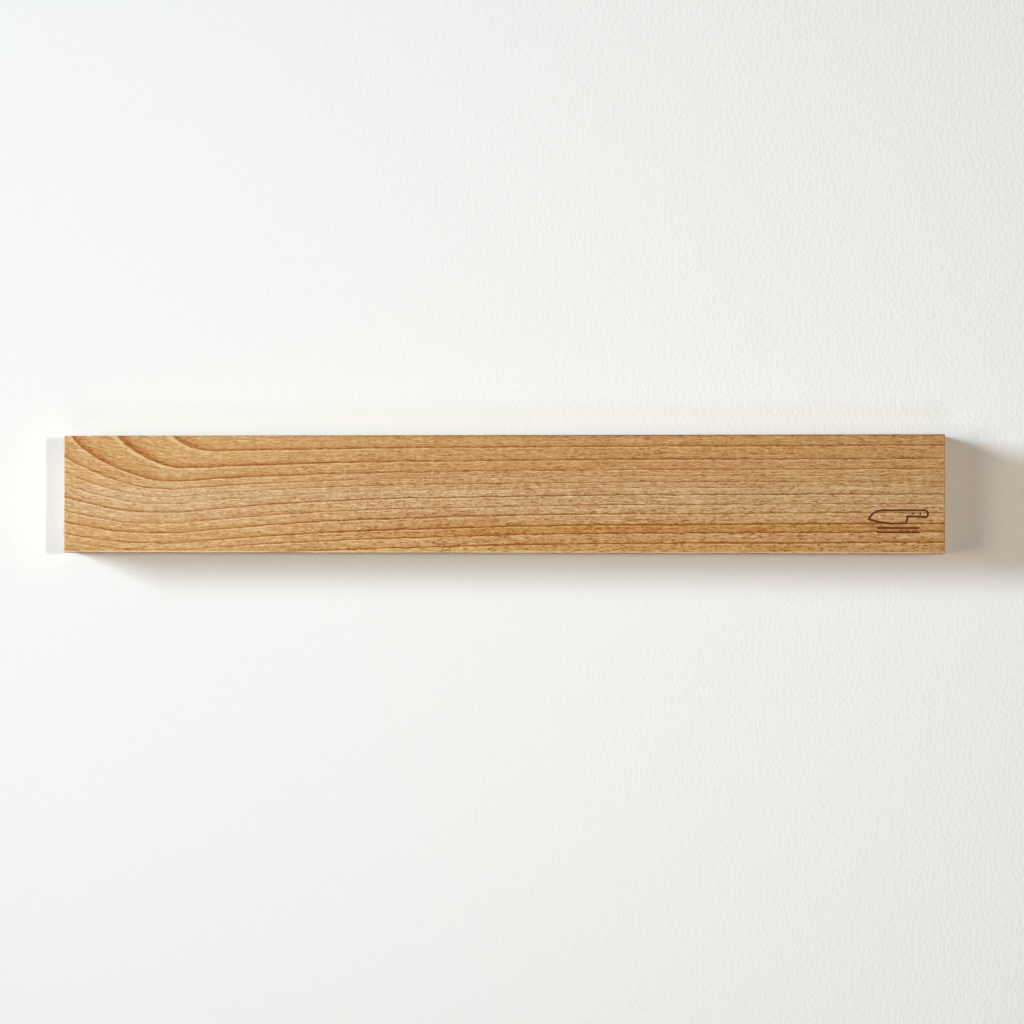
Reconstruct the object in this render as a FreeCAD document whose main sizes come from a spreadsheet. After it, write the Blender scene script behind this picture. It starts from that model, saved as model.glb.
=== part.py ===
"""Magnetic knife rack: a solid beech board that hangs flat on a wall and holds knives on its front face.

Two packs of block magnets lie in grooves milled from the back, so that only a thin wall of beech is left in
front of them. Each pack is bridged behind by a steel yoke, and a screwed beech strip closes the channel flush
with the back face. Two steel keyhole plates, let into the back near the ends, hook over wall screws.

Frame, in millimetres: the origin is the centre of the back face, where the rack meets the wall. +X runs along
the rack to the right as seen from the front, +Z is up, and +Y points into the wall, so the front face looks
along -Y.
"""

import FreeCAD
import Part
import Sketcher
import os
from math import pi
from FreeCAD import Vector

# name, size in millimetres (or a count, or degrees), what it is
DIMENSIONS = [
    ("board_length", 450, "beech board, along X"),
    ("board_height", 60, "beech board, along Z"),
    ("board_depth", 25, "beech board, from the wall to the front face"),
    ("board_arris", 0.6, "rounding of the board's outer edges"),
    ("face_wall", 2, "beech left in front of the magnets"),
    ("cutter_radius", 3, "corner radius of the milled grooves and recesses"),
    ("magnet_length", 40, "block magnet, along X"),
    ("magnet_height", 10, "block magnet, along Z"),
    ("magnet_depth", 10, "block magnet, along Y, the way it is magnetised"),
    ("magnet_arris", 0.5, "rounding of a magnet's plated edges"),
    ("magnet_gap", 1.5, "space between neighbouring magnets in a row"),
    ("magnets_in_row", 4, "magnets in one row of a pack"),
    ("row_offset", 9, "height of a magnet row above or below the middle"),
    ("groove_side_play", 0.3, "play above and below a magnet in its groove"),
    ("groove_end_play", 2, "space past the last magnet of a row"),
    ("yoke_length", 171, "steel yoke behind one pack, along X"),
    ("yoke_height", 36, "steel yoke, along Z"),
    ("yoke_depth", 3, "thickness of the yoke"),
    ("yoke_corner", 4, "corner radius of the yoke"),
    ("yoke_play", 0.5, "play round the yoke in its recess"),
    ("pack_centre", 91, "distance of a pack's middle from the rack's middle"),
    ("strip_length", 375.7, "closing strip, along X"),
    ("strip_height", 43.7, "closing strip, along Z"),
    ("strip_depth", 10, "closing strip, along Y"),
    ("strip_corner", 6, "corner radius of the closing strip"),
    ("strip_arris", 0.25, "chamfer round the strip's outer face"),
    ("strip_play", 0.15, "play round the closing strip in its rebate"),
    ("strip_screw_x", 182.5, "outer strip screws, distance from the middle"),
    ("strip_screw_z", 12, "strip screws, height above or below the middle"),
    ("hanger_spacing", 410, "distance between the two keyhole plates"),
    ("plate_height", 40, "keyhole plate, along Z"),
    ("plate_width", 16, "keyhole plate, along X, with round ends"),
    ("plate_depth", 1.5, "thickness of the keyhole plate"),
    ("plate_arris", 0.2, "chamfer round the plate's outer face"),
    ("plate_sink", 0.2, "how far the plate lies below the back face"),
    ("plate_play", 0.15, "play round the plate in its recess"),
    ("entry_diameter", 9.5, "keyhole's round entry for the wall screw's head"),
    ("entry_drop", 4.5, "entry's centre below the plate's middle"),
    ("slot_width", 4.8, "keyhole's slot for the wall screw's shank"),
    ("slot_travel", 9.5, "how far the rack drops from entry to seat"),
    ("head_pocket_width", 12.5, "pocket in the beech for the wall screw's head"),
    ("head_pocket_depth", 6, "depth of that pocket behind the plate"),
    ("plate_screw_z", 15.5, "plate screws, above and below the plate's middle"),
    ("screw_major", 3, "diameter of the wood screws over the thread"),
    ("screw_head", 5.6, "diameter of the countersunk heads"),
    ("screw_head_land", 0.2, "straight rim of the heads"),
    ("screw_point", 3, "length of the tapered point"),
    ("thread_pitch", 1.25, "distance between thread grooves"),
    ("thread_depth", 0.5, "depth of a thread groove"),
    ("thread_mouth", 0.9, "width of a thread groove at its mouth"),
    ("recess_span", 3.1, "cross recess, tip to tip"),
    ("recess_arm", 0.8, "width of an arm of the cross recess"),
    ("recess_depth", 1.3, "depth of the cross recess"),
    ("recess_taper", 12, "taper of the cross recess, in degrees"),
    ("plate_screw_length", 12, "screws of the keyhole plates"),
    ("strip_screw_length", 20, "screws of the closing strip"),
    ("pilot_play", 0.05, "radial play of a screw in its pilot hole"),
    ("pilot_past_point", 0.5, "how far a pilot hole goes past the screw's point"),
    ("clearance_bore", 3.4, "screw hole through a plate or the strip"),
    ("countersink", 6, "diameter of the countersinks at the surface"),
    ("countersink_angle", 90, "included angle of the countersinks"),
    ("mark_length", 29.5, "engraved knife outline, tip to butt"),
    ("mark_right", 23.2, "mark's middle, in from the right end"),
    ("mark_up", 16.8, "mark's middle, up from the bottom edge"),
    ("mark_line", 1, "width of the engraved lines"),
    ("mark_cut", 0.3, "depth of the engraved lines"),
    ("rule_length", 21.2, "the two rules under the knife"),
    ("rule_drop", 3.8, "upper rule, below the mark's middle"),
    ("rule_spacing", 2.2, "lower rule, below the upper one"),
    ("through_cut", 60, "depth given to cuts that go right through"),
    ("cut_overlap", 0.1, "how far a cutter starts outside the surface it cuts"),
]

# The engraved knife's outline, in shares of its length from the mark's middle, to the right and up
KNIFE_POINTS = {
    "neck_top": (0.16, 0.17),
    "spine_end": (-0.26, 0.17),
    "clip": (-0.41, 0.125),
    "tip": (-0.5, 0.02),
    "belly": (-0.22, -0.043),
    "heel": (0.13, -0.05),
    "neck_bottom": (0.16, 0.07),
    "butt_bottom": (0.47, 0.055),
    "butt": (0.5, 0.11),
    "butt_top": (0.46, 0.17),
    "front_rivet": (0.25, 0.115),
    "rear_rivet": (0.37, 0.115),
}

BACK = "XZ_Plane"  # sketches here look along -Y: local x is X, local y is Z
UP = "XY_Plane"
SAME_PLACE = 1e-6  # millimetres within which two places count as one
NEARLY_ALL = 0.99  # share of an edge's length that has to run along an axis
SIDES = {"left": -1, "right": 1}
ROWS = {"upper": 1, "lower": -1}

doc = FreeCAD.newDocument("knife_rack")


# ---------------------------------------------------------------- the sheet


def make_sheet():
    sheet = doc.addObject("Spreadsheet::Sheet", "Sizes")
    for row, (name, size, meaning) in enumerate(DIMENSIONS, start=1):
        sheet.set(f"A{row}", name)
        sheet.set(f"B{row}", str(size))
        sheet.set(f"C{row}", meaning)
        sheet.setAlias(f"B{row}", name)
    doc.recompute()
    return sheet


def size(name):
    """A driving dimension, as a number."""
    return float(sheet.get(name))


def cell(name):
    """A driving dimension, as a term of an expression."""
    return f"Sizes.{name}"


# ------------------------------------------------------- bodies and sketches


def new_body(label):
    body = doc.addObject("PartDesign::Body", label)
    body.Label = label
    return body


def origin_plane(body, role):
    return next(o for o in body.Origin.OriginFeatures if o.Role == role)


def new_sketch(body, name, role, across="0", up="0", out="0"):
    """A sketch on an origin plane, shifted in the plane and along its normal by expressions."""
    sketch = body.newObject("Sketcher::SketchObject", name)
    sketch.AttachmentSupport = [(origin_plane(body, role), "")]
    sketch.MapMode = "FlatFace"
    for axis, shift in zip("xyz", (across, up, out)):
        sketch.setExpression(f"AttachmentOffset.Base.{axis}", shift)
    return sketch


def bind(sketch, constraint, name, expression):
    """Adds a dimensional constraint and binds it to the sheet."""
    index = sketch.addConstraint(constraint)
    sketch.renameConstraint(index, name)
    sketch.setExpression(f"Constraints.{name}", expression)


def draw_rectangle(sketch, width, height):
    """A rectangle centred on the sketch's origin. width and height are expressions."""
    half_w, half_h = worked_out(width) / 2, worked_out(height) / 2
    corners = [(-half_w, -half_h), (half_w, -half_h), (half_w, half_h), (-half_w, half_h)]
    points = [Vector(x, y, 0) for x, y in corners]
    for start, end in zip(points, points[1:] + points[:1]):
        sketch.addGeometry(Part.LineSegment(start, end))
    for line in range(4):
        sketch.addConstraint(Sketcher.Constraint("Coincident", line, 2, (line + 1) % 4, 1))
    for line, kind in enumerate(("Horizontal", "Vertical", "Horizontal", "Vertical")):
        sketch.addConstraint(Sketcher.Constraint(kind, line))
    sketch.addConstraint(Sketcher.Constraint("Symmetric", 0, 1, 1, 2, -1, 1))
    bind(sketch, Sketcher.Constraint("DistanceX", 0, 1, 0, 2, 2 * half_w), "width", width)
    bind(sketch, Sketcher.Constraint("DistanceY", 1, 1, 1, 2, 2 * half_h), "height", height)


def draw_obround(sketch, length, width):
    """An upright slot with round ends, centred on the sketch's origin; length is tip to tip."""
    centres = f"({length}) - ({width})"
    radius, half = worked_out(width) / 2, worked_out(centres) / 2
    upper = Part.Circle(Vector(0, half, 0), Vector(0, 0, 1), radius)
    lower = Part.Circle(Vector(0, -half, 0), Vector(0, 0, 1), radius)
    sketch.addGeometry(Part.ArcOfCircle(upper, 0, pi))
    sketch.addGeometry(Part.LineSegment(Vector(-radius, half, 0), Vector(-radius, -half, 0)))
    sketch.addGeometry(Part.ArcOfCircle(lower, pi, 2 * pi))
    sketch.addGeometry(Part.LineSegment(Vector(radius, -half, 0), Vector(radius, half, 0)))
    for curve in range(4):
        sketch.addConstraint(Sketcher.Constraint("Tangent", curve, 2, (curve + 1) % 4, 1))
    sketch.addConstraint(Sketcher.Constraint("Symmetric", 0, 3, 2, 3, -1, 1))
    sketch.addConstraint(Sketcher.Constraint("Vertical", 1))
    bind(sketch, Sketcher.Constraint("Diameter", 0, 2 * radius), "width", width)
    bind(sketch, Sketcher.Constraint("DistanceY", 2, 3, 0, 3, 2 * half), "centres", centres)


def draw_circle(sketch, diameter):
    across = worked_out(diameter)
    sketch.addGeometry(Part.Circle(Vector(0, 0, 0), Vector(0, 0, 1), across / 2))
    sketch.addConstraint(Sketcher.Constraint("Coincident", 0, 3, -1, 1))
    bind(sketch, Sketcher.Constraint("Diameter", 0, across), "diameter", diameter)


def draw_polygon(sketch, points):
    """A closed outline. Each point is a pair of expressions, in the sketch's own axes."""
    values = [Vector(*(worked_out(term) for term in point), 0) for point in points]
    for start, end in zip(values, values[1:] + values[:1]):
        sketch.addGeometry(Part.LineSegment(start, end))
    for line in range(len(points)):
        following = (line + 1) % len(points)
        sketch.addConstraint(Sketcher.Constraint("Coincident", line, 2, following, 1))
    for line, (point, place) in enumerate(zip(points, values)):
        for kind, aligned, term, at in (
            ("DistanceX", "Vertical", point[0], place.x),
            ("DistanceY", "Horizontal", point[1], place.y),
        ):
            if term == "0":
                sketch.addConstraint(Sketcher.Constraint(aligned, -1, 1, line, 1))
            else:
                constraint = Sketcher.Constraint(kind, -1, 1, line, 1, at)
                bind(sketch, constraint, f"{kind}{line}", term)


def worked_out(term):
    """The value of an expression on the sheet, for a sketch's starting shape."""
    return float(sheet.evalExpression(term.replace("Sizes.", "")))


# ----------------------------------------------------------------- features


def extrude(body, kind, sketch, length, inward):
    """A Pad or Pocket whose depth is an expression. inward means along -Y from a sketch on the back plane."""
    before = volume(body)
    feature = body.newObject(f"PartDesign::{kind}", f"{sketch.Name}_{kind.lower()}")
    feature.Profile = sketch
    feature.setExpression("Length", length)
    feature.Reversed = inward if kind == "Pocket" else not inward
    sketch.Visibility = False
    doc.recompute()
    grew = feature.Shape.Volume - before
    if (grew > 0) != (kind == "Pad"):
        raise RuntimeError(f"{feature.Name} changed the volume by {grew:.3f} mm3")
    return feature


def volume(body):
    return body.Shape.Volume if body.Tip else 0.0


def pad(body, sketch, length, inward=True):
    return extrude(body, "Pad", sketch, length, inward)


def pocket(body, sketch, length, inward=True):
    return extrude(body, "Pocket", sketch, length, inward)


def dress(body, kind, name, edges, amount):
    """A Fillet or Chamfer on edges of the body's last feature, whose size is bound to the sheet."""
    feature = body.newObject(f"PartDesign::{kind}", name)
    feature.Base = (body.Tip if body.Tip != feature else feature.BaseFeature, edges)
    feature.setExpression("Radius" if kind == "Fillet" else "Size", amount)
    doc.recompute()
    return feature


def edge_names(shape, wanted):
    """The names of the edges for which wanted(edge) is true."""
    return [f"Edge{i}" for i, edge in enumerate(shape.Edges, start=1) if wanted(edge)]


def runs_along_y(edge):
    if edge.Degenerated:
        return False
    ends = edge.lastVertex().Point - edge.firstVertex().Point
    return edge.Curve.TypeId == "Part::GeomLine" and abs(ends.y) > NEARLY_ALL * ends.Length


def lies_on_back(edge):
    """True for an edge in the plane y = 0 of the body's own frame."""
    return abs(edge.BoundBox.YMin) < SAME_PLACE and abs(edge.BoundBox.YMax) < SAME_PLACE


def fillet_corners(body, name, radius):
    edges = edge_names(body.Tip.Shape, runs_along_y)
    return dress(body, "Fillet", name, edges, radius)


def drill(body, name, diameter, depth, across, up):
    """A plain round hole cut inwards from the back plane."""
    sketch = new_sketch(body, name, BACK, across, up)
    draw_circle(sketch, diameter)
    return pocket(body, sketch, depth)


def countersink(body, name, across, up):
    """A screw hole through the body from its outer face, with a countersink for the head."""
    drill(body, name, cell("clearance_bore"), cell("through_cut"), across, up)
    sketch = new_sketch(body, f"{name}_sink", UP, across, "0", up)
    outer = f"{cell('countersink')} / 2"
    deep = f"-{outer} / tan({cell('countersink_angle')} * 1 deg / 2)"
    draw_polygon(sketch, [("0", "0"), (outer, "0"), ("0", deep)])
    before = volume(body)
    groove = body.newObject("PartDesign::Groove", f"{name}_cone")
    groove.Profile = sketch
    groove.ReferenceAxis = (sketch, ["V_Axis"])
    groove.Angle = 360
    sketch.Visibility = False
    doc.recompute()
    if groove.Shape.Volume >= before:
        raise RuntimeError(f"{groove.Name} cuts nothing")


def place(body, across="0", inward="0", up="0"):
    """Sets the sub-part's Placement from expressions; inward is counted from the wall, along -Y."""
    body.setExpression("Placement.Base.x", across)
    body.setExpression("Placement.Base.y", f"-({inward})")
    body.setExpression("Placement.Base.z", up)


# ------------------------------------------------------- worked-out distances

GROOVE_LENGTH = (
    f"{cell('magnets_in_row')} * {cell('magnet_length')}"
    f" + ({cell('magnets_in_row')} - 1) * {cell('magnet_gap')} + 2 * {cell('groove_end_play')}"
)
GROOVE_FLOOR = f"{cell('board_depth')} - {cell('face_wall')}"
YOKE_BACK = f"{GROOVE_FLOOR} - {cell('magnet_depth')} - {cell('yoke_depth')}"
PLATE_FLOOR = f"{cell('plate_sink')} + {cell('plate_depth')}"
SLOT_MIDDLE = f"{cell('slot_travel')} / 2 - {cell('entry_drop')}"


def hanger_x(side):
    return f"{SIDES[side]} * {cell('hanger_spacing')} / 2"


def strip_screw_places():
    """name, x and z of each closing-strip screw."""
    for column, sign in (("left", -1), ("middle", 0), ("right", 1)):
        for row, up in ROWS.items():
            yield (
                f"{column}_{row}",
                f"{sign} * {cell('strip_screw_x')}",
                f"{up} * {cell('strip_screw_z')}",
            )


def plate_screw_places():
    """name, x and z of each keyhole-plate screw."""
    for side in SIDES:
        for row, up in ROWS.items():
            yield f"{side}_{row}", hanger_x(side), f"{up} * {cell('plate_screw_z')}"


# ---------------------------------------------------------------- sub-parts


def cut_recess(body, name, width, height, depth, corner, across="0", up="0"):
    """A flat-bottomed recess milled from the back with rounded corners."""
    sketch = new_sketch(body, name, BACK, across, up)
    draw_rectangle(sketch, width, height)
    before = set(corner_places(body.Tip.Shape))
    pocket(body, sketch, depth)
    shape = body.Tip.Shape
    fresh = [
        f"Edge{i}"
        for i, edge in enumerate(shape.Edges, start=1)
        if runs_along_y(edge) and corner_place(edge) not in before
    ]
    return dress(body, "Fillet", f"{name}_corners", fresh, corner)


def corner_place(edge):
    """Where an upright edge stands, and how deep it reaches, to tell new edges from old ones."""
    point = edge.firstVertex().Point
    box = edge.BoundBox
    return tuple(round(v, 3) for v in (point.x, point.z, box.YMin, box.YMax))


def corner_places(shape):
    return [corner_place(edge) for edge in shape.Edges if runs_along_y(edge)]


def make_board():
    """The beech board before the mark is engraved: everything else is milled and drilled from its back."""
    body = new_body("board_blank")
    sketch = new_sketch(body, "board_outline", BACK)
    draw_rectangle(sketch, cell("board_length"), cell("board_height"))
    pad(body, sketch, cell("board_depth"))
    every_edge = edge_names(body.Tip.Shape, lambda edge: True)
    dress(body, "Fillet", "board_edges", every_edge, cell("board_arris"))

    play = f"2 * {cell('strip_play')}"
    cut_recess(
        body,
        "strip_rebate",
        f"{cell('strip_length')} + {play}",
        f"{cell('strip_height')} + {play}",
        cell("strip_depth"),
        cell("strip_corner"),
    )
    for side, sign in SIDES.items():
        middle = f"{sign} * {cell('pack_centre')}"
        play = f"2 * {cell('yoke_play')}"
        cut_recess(
            body,
            f"yoke_recess_{side}",
            f"{cell('yoke_length')} + {play}",
            f"{cell('yoke_height')} + {play}",
            f"{GROOVE_FLOOR} - {cell('magnet_depth')}",
            cell("cutter_radius"),
            across=middle,
        )
        for row, up in ROWS.items():
            cut_recess(
                body,
                f"groove_{side}_{row}",
                GROOVE_LENGTH,
                f"{cell('magnet_height')} + 2 * {cell('groove_side_play')}",
                GROOVE_FLOOR,
                cell("cutter_radius"),
                across=middle,
                up=f"{up} * {cell('row_offset')}",
            )

    for side in SIDES:
        play = f"2 * {cell('plate_play')}"
        sketch = new_sketch(body, f"plate_recess_{side}", BACK, hanger_x(side))
        draw_obround(
            sketch, f"{cell('plate_height')} + {play}", f"{cell('plate_width')} + {play}"
        )
        pocket(body, sketch, PLATE_FLOOR)
        sketch = new_sketch(body, f"head_pocket_{side}", BACK, hanger_x(side), SLOT_MIDDLE)
        draw_obround(
            sketch,
            f"{cell('slot_travel')} + {cell('head_pocket_width')}",
            cell("head_pocket_width"),
        )
        pocket(body, sketch, f"{PLATE_FLOOR} + {cell('head_pocket_depth')}")

    bore = f"{cell('screw_major')} + 2 * {cell('pilot_play')}"
    depth = f"{cell('strip_screw_length')} + {cell('pilot_past_point')}"
    for name, across, up in strip_screw_places():
        drill(body, f"strip_pilot_{name}", bore, depth, across, up)
    depth = f"{cell('plate_sink')} + {cell('plate_screw_length')} + {cell('pilot_past_point')}"
    for name, across, up in plate_screw_places():
        drill(body, f"plate_pilot_{name}", bore, depth, across, up)
    return body


def knife_faces(middle):
    """The engraved knife on the front face: its outline as a band, and two rivets."""
    length, line = size("mark_length"), size("mark_line")
    at = {
        name: middle + Vector(right * length, 0, up * length)
        for name, (right, up) in KNIFE_POINTS.items()
    }
    outline = Part.Wire(
        [
            Part.LineSegment(at["neck_top"], at["spine_end"]).toShape(),
            Part.Arc(at["spine_end"], at["clip"], at["tip"]).toShape(),
            Part.Arc(at["tip"], at["belly"], at["heel"]).toShape(),
            Part.LineSegment(at["heel"], at["neck_bottom"]).toShape(),
            Part.LineSegment(at["neck_bottom"], at["butt_bottom"]).toShape(),
            Part.Arc(at["butt_bottom"], at["butt"], at["butt_top"]).toShape(),
            Part.LineSegment(at["butt_top"], at["neck_top"]).toShape(),
        ]
    )
    outer, inner = outline.makeOffset2D(line / 2), outline.makeOffset2D(-line / 2)
    if outer.Length < inner.Length:
        outer, inner = inner, outer
    rivets = [
        Part.Face(Part.Wire(Part.Circle(at[name], Vector(0, 1, 0), line / 2).toShape()))
        for name in ("front_rivet", "rear_rivet")
    ]
    return [Part.Face(outer).cut(Part.Face(inner)), *rivets]


def rule_face(middle, drop):
    """A plain rule on the front face, drop below the mark's middle."""
    half_length, half_line = size("rule_length") / 2, size("mark_line") / 2
    corners = [
        middle + Vector(x, 0, z - drop)
        for x, z in (
            (-half_length, -half_line),
            (half_length, -half_line),
            (half_length, half_line),
            (-half_length, half_line),
        )
    ]
    return Part.Face(Part.makePolygon(corners + corners[:1]))


def make_mark():
    """Cutter for the burnt-in mark: a kitchen knife over two plain rules."""
    middle = Vector(
        size("board_length") / 2 - size("mark_right"),
        -size("board_depth"),
        size("mark_up") - size("board_height") / 2,
    )
    drop = size("rule_drop")
    faces = knife_faces(middle)
    faces += [rule_face(middle, drop), rule_face(middle, drop + size("rule_spacing"))]
    solids = []
    for face in faces:
        face.translate(Vector(0, -size("cut_overlap"), 0))
        solids.append(face.extrude(Vector(0, size("cut_overlap") + size("mark_cut"), 0)))
    cutter = doc.addObject("Part::Feature", "mark_cutter")
    cutter.Shape = Part.makeCompound(solids)
    return cutter


def make_engraved_board():
    blank, cutter = make_board(), make_mark()
    board = doc.addObject("Part::Cut", "beech_board")
    board.Label = "beech_board"
    board.Base, board.Tool = blank, cutter
    doc.recompute()
    if board.Shape.Volume >= blank.Shape.Volume:
        raise RuntimeError("the mark cuts nothing")
    return board


def make_magnet(side, row, number):
    """One nickel-plated block magnet; numbers run from left to right in each row."""
    body = new_body(f"magnet_{side}_{row}_{number}")
    sketch = new_sketch(body, f"{body.Label}_outline", BACK)
    draw_rectangle(sketch, cell("magnet_length"), cell("magnet_height"))
    pad(body, sketch, cell("magnet_depth"))
    every_edge = edge_names(body.Tip.Shape, lambda edge: True)
    dress(body, "Fillet", f"{body.Label}_edges", every_edge, cell("magnet_arris"))
    pitch = f"({cell('magnet_length')} + {cell('magnet_gap')})"
    place(
        body,
        f"{SIDES[side]} * {cell('pack_centre')}"
        f" + ({number} - ({cell('magnets_in_row')} + 1) / 2) * {pitch}",
        f"{GROOVE_FLOOR} - {cell('magnet_depth')}",
        f"{ROWS[row]} * {cell('row_offset')}",
    )
    return body


def make_yoke(side):
    body = new_body(f"steel_yoke_{side}")
    sketch = new_sketch(body, f"{body.Label}_outline", BACK)
    draw_rectangle(sketch, cell("yoke_length"), cell("yoke_height"))
    pad(body, sketch, cell("yoke_depth"))
    fillet_corners(body, f"{body.Label}_corners", cell("yoke_corner"))
    place(body, f"{SIDES[side]} * {cell('pack_centre')}", YOKE_BACK)
    return body


def make_closing_strip():
    body = new_body("closing_strip")
    sketch = new_sketch(body, "closing_strip_outline", BACK)
    draw_rectangle(sketch, cell("strip_length"), cell("strip_height"))
    pad(body, sketch, cell("strip_depth"))
    fillet_corners(body, "closing_strip_corners", cell("strip_corner"))
    rim = edge_names(body.Tip.Shape, lies_on_back)
    dress(body, "Chamfer", "closing_strip_arris", rim, cell("strip_arris"))
    for name, across, up in strip_screw_places():
        countersink(body, f"strip_hole_{name}", across, up)
    return body


def make_plate(side):
    """A keyhole plate: the wall screw's head enters at the bottom and its shank seats at the slot's top."""
    body = new_body(f"keyhole_plate_{side}")
    sketch = new_sketch(body, f"{body.Label}_outline", BACK)
    draw_obround(sketch, cell("plate_height"), cell("plate_width"))
    pad(body, sketch, cell("plate_depth"))
    rim = edge_names(body.Tip.Shape, lies_on_back)
    dress(body, "Chamfer", f"{body.Label}_arris", rim, cell("plate_arris"))
    entry, drop = cell("entry_diameter"), f"-{cell('entry_drop')}"
    drill(body, f"{body.Label}_entry", entry, cell("through_cut"), "0", drop)
    sketch = new_sketch(body, f"{body.Label}_slot", BACK, "0", SLOT_MIDDLE)
    draw_obround(sketch, f"{cell('slot_travel')} + {cell('slot_width')}", cell("slot_width"))
    pocket(body, sketch, cell("through_cut"))
    for row, up in ROWS.items():
        countersink(body, f"{body.Label}_hole_{row}", "0", f"{up} * {cell('plate_screw_z')}")
    place(body, hanger_x(side), cell("plate_sink"))
    return body


def make_screw(label, length, across, inward, up):
    """A countersunk wood screw with its head flush at y = 0 and its point along -Y."""
    body = new_body(label)
    sketch = new_sketch(body, f"{label}_profile", UP)
    head, shank = f"{cell('screw_head')} / 2", f"{cell('screw_major')} / 2"
    land = f"-{cell('screw_head_land')}"
    under_head = f"{land} - ({head} - {shank})"
    taper_start = f"{cell('screw_point')} - {length}"
    draw_polygon(
        sketch,
        [
            ("0", "0"),
            (head, "0"),
            (head, land),
            (shank, under_head),
            (shank, taper_start),
            ("0", f"-{length}"),
        ],
    )
    turned = body.newObject("PartDesign::Revolution", f"{label}_turned")
    turned.Profile = sketch
    turned.ReferenceAxis = (sketch, ["V_Axis"])
    turned.Angle = 360
    doc.recompute()
    cut_thread(body, label, shank, under_head, length)
    cut_cross_recess(body, label)
    place(body, across, inward, up)
    return body


def cut_thread(body, label, shank, under_head, length):
    """V grooves round the shank, one pitch apart, from under the head to the start of the point."""
    first = f"{under_head} - {cell('thread_pitch')}"
    floor, half = f"{shank} - {cell('thread_depth')}", f"{cell('thread_mouth')} / 2"
    mouth = f"{shank} + {cell('cut_overlap')}"
    sketch = new_sketch(body, f"{label}_thread", UP)
    draw_polygon(
        sketch,
        [
            (floor, first),
            (mouth, f"{first} + {half}"),
            (mouth, f"{first} - {half}"),
        ],
    )
    groove = body.newObject("PartDesign::Groove", f"{label}_groove")
    groove.Profile = sketch
    groove.ReferenceAxis = (sketch, ["V_Axis"])
    groove.Angle = 360
    before = volume(body)
    doc.recompute()
    threaded = worked_out(f"{length} - {cell('screw_point')}") + worked_out(first)
    grooves = 1 + int(threaded / size("thread_pitch"))
    pattern = body.newObject("PartDesign::LinearPattern", f"{label}_grooves")
    pattern.Originals = [groove]
    pattern.Direction = (sketch, ["V_Axis"])
    pattern.Reversed = True
    pattern.Occurrences = grooves
    pattern.setExpression("Length", f"{cell('thread_pitch')} * {grooves - 1}")
    body.Tip = pattern
    sketch.Visibility = False
    doc.recompute()
    if pattern.Shape.Volume >= groove.Shape.Volume or groove.Shape.Volume >= before:
        raise RuntimeError(f"{label} has no thread")


def cut_cross_recess(body, label):
    """The driver's cross recess, narrowing towards its floor."""
    sketch = new_sketch(body, f"{label}_cross", BACK)
    tip, arm = f"{cell('recess_span')} / 2", f"{cell('recess_arm')} / 2"
    quarter = [(tip, arm), (arm, arm), (arm, tip)]
    corners = []
    for sign_x, sign_y in ((1, 1), (-1, 1), (-1, -1), (1, -1)):
        turn = quarter if sign_x * sign_y > 0 else quarter[::-1]
        corners += [
            (x if sign_x > 0 else f"-{x}", y if sign_y > 0 else f"-{y}") for x, y in turn
        ]
    draw_polygon(sketch, corners)
    recess = pocket(body, sketch, cell("recess_depth"))
    recess.setExpression("TaperAngle", f"-{cell('recess_taper')}")
    doc.recompute()
    return recess


# --------------------------------------------------------------- the whole


def make_parts():
    parts = [make_engraved_board(), make_closing_strip()]
    for side in SIDES:
        parts += [make_yoke(side), make_plate(side)]
        for row in ROWS:
            for number in range(1, int(size("magnets_in_row")) + 1):
                parts.append(make_magnet(side, row, number))
    for name, across, up in plate_screw_places():
        length = cell("plate_screw_length")
        parts.append(make_screw(f"plate_screw_{name}", length, across, cell("plate_sink"), up))
    for name, across, up in strip_screw_places():
        length = cell("strip_screw_length")
        parts.append(make_screw(f"strip_screw_{name}", length, across, "0", up))
    return parts


def check(parts):
    for thing in doc.Objects:
        if "Invalid" in thing.State or "Error" in thing.State:
            raise RuntimeError(f"{thing.Label} failed: {thing.State}")
    for part in parts:
        if part.Shape.isNull() or not part.Shape.isValid() or not part.Shape.Solids:
            raise RuntimeError(f"{part.Label} has no valid solid")


def write(parts):
    os.makedirs("parts", exist_ok=True)
    for part in parts:
        part.Shape.exportStep(os.path.join("parts", f"{part.Label}.step"))
        print(f"{part.Label}: {part.Shape.Volume:.1f} mm3, {len(part.Shape.Solids)} solid")


sheet = make_sheet()
parts = make_parts()
doc.recompute()
check(parts)
write(parts)
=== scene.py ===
"""Magnetic knife rack: a beech board on a white wall, in soft studio light.

The board is modelled here with its hand-sanded edges, its engraved mark and the channel milled into its back.
Everything inside and behind it is the frame's own piece with a better material. Lengths are in metres, and MM
turns a number of millimetres into metres. Inside the materials they are in millimetres.
"""

import bmesh
import bpy
import random
from math import atan2, cos, e, hypot, pi, radians, sin, tan
from mathutils import Matrix, Vector, noise


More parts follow.
